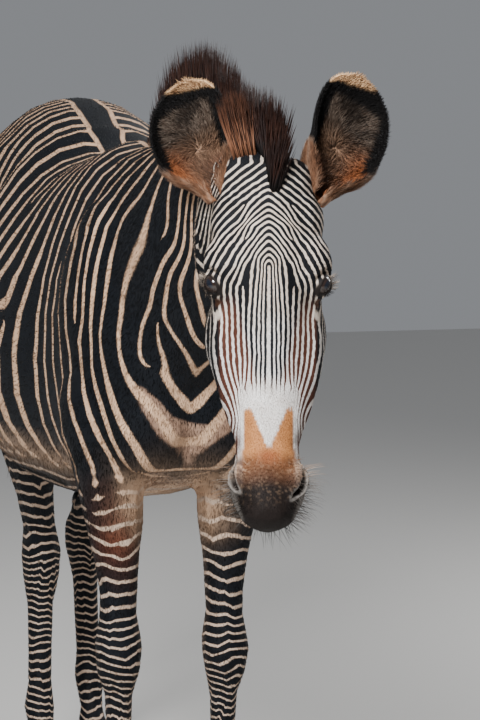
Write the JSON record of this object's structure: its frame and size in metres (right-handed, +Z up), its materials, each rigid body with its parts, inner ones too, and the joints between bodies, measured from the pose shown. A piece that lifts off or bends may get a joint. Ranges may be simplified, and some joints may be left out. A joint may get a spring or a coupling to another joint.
{
  "type": "zebra",
  "caption": "Standing Grevy's zebra, life size, head lowered and turned a little to its right, round ears and an upright mane.",
  "frame": {"origin": "on the floor, under the middle of the animal's overall length and width", "axes": "-Y the way the animal faces, +X its left side, +Z up"},
  "size_m": [0.5712, 2.1703, 1.644],
  "materials": {
    "coat": "hide under short striped hair",
    "mane_hair": "coarse upright hair",
    "hoof": "dark horn, satin",
    "eye": "wet, dark"
  },
  "bodies": {
    "root": {"head": "coat", "muzzle": "coat", "neck": "coat", "forequarters": "coat", "barrel": "coat", "hindquarters": "coat", "mane": "mane_hair", "tail": "coat", "tail_tuft": "mane_hair", "ear_left": "coat", "eye_left": "eye", "forearm_left": "coat", "fore_shin_left": "coat", "fore_hoof_left": "hoof", "gaskin_left": "coat", "hind_shin_left": "coat", "hind_hoof_left": "hoof", "ear_right": "coat", "eye_right": "eye", "forearm_right": "coat", "fore_shin_right": "coat", "fore_hoof_right": "hoof", "gaskin_right": "coat", "hind_shin_right": "coat", "hind_hoof_right": "hoof"}
  },
  "joints": []
}
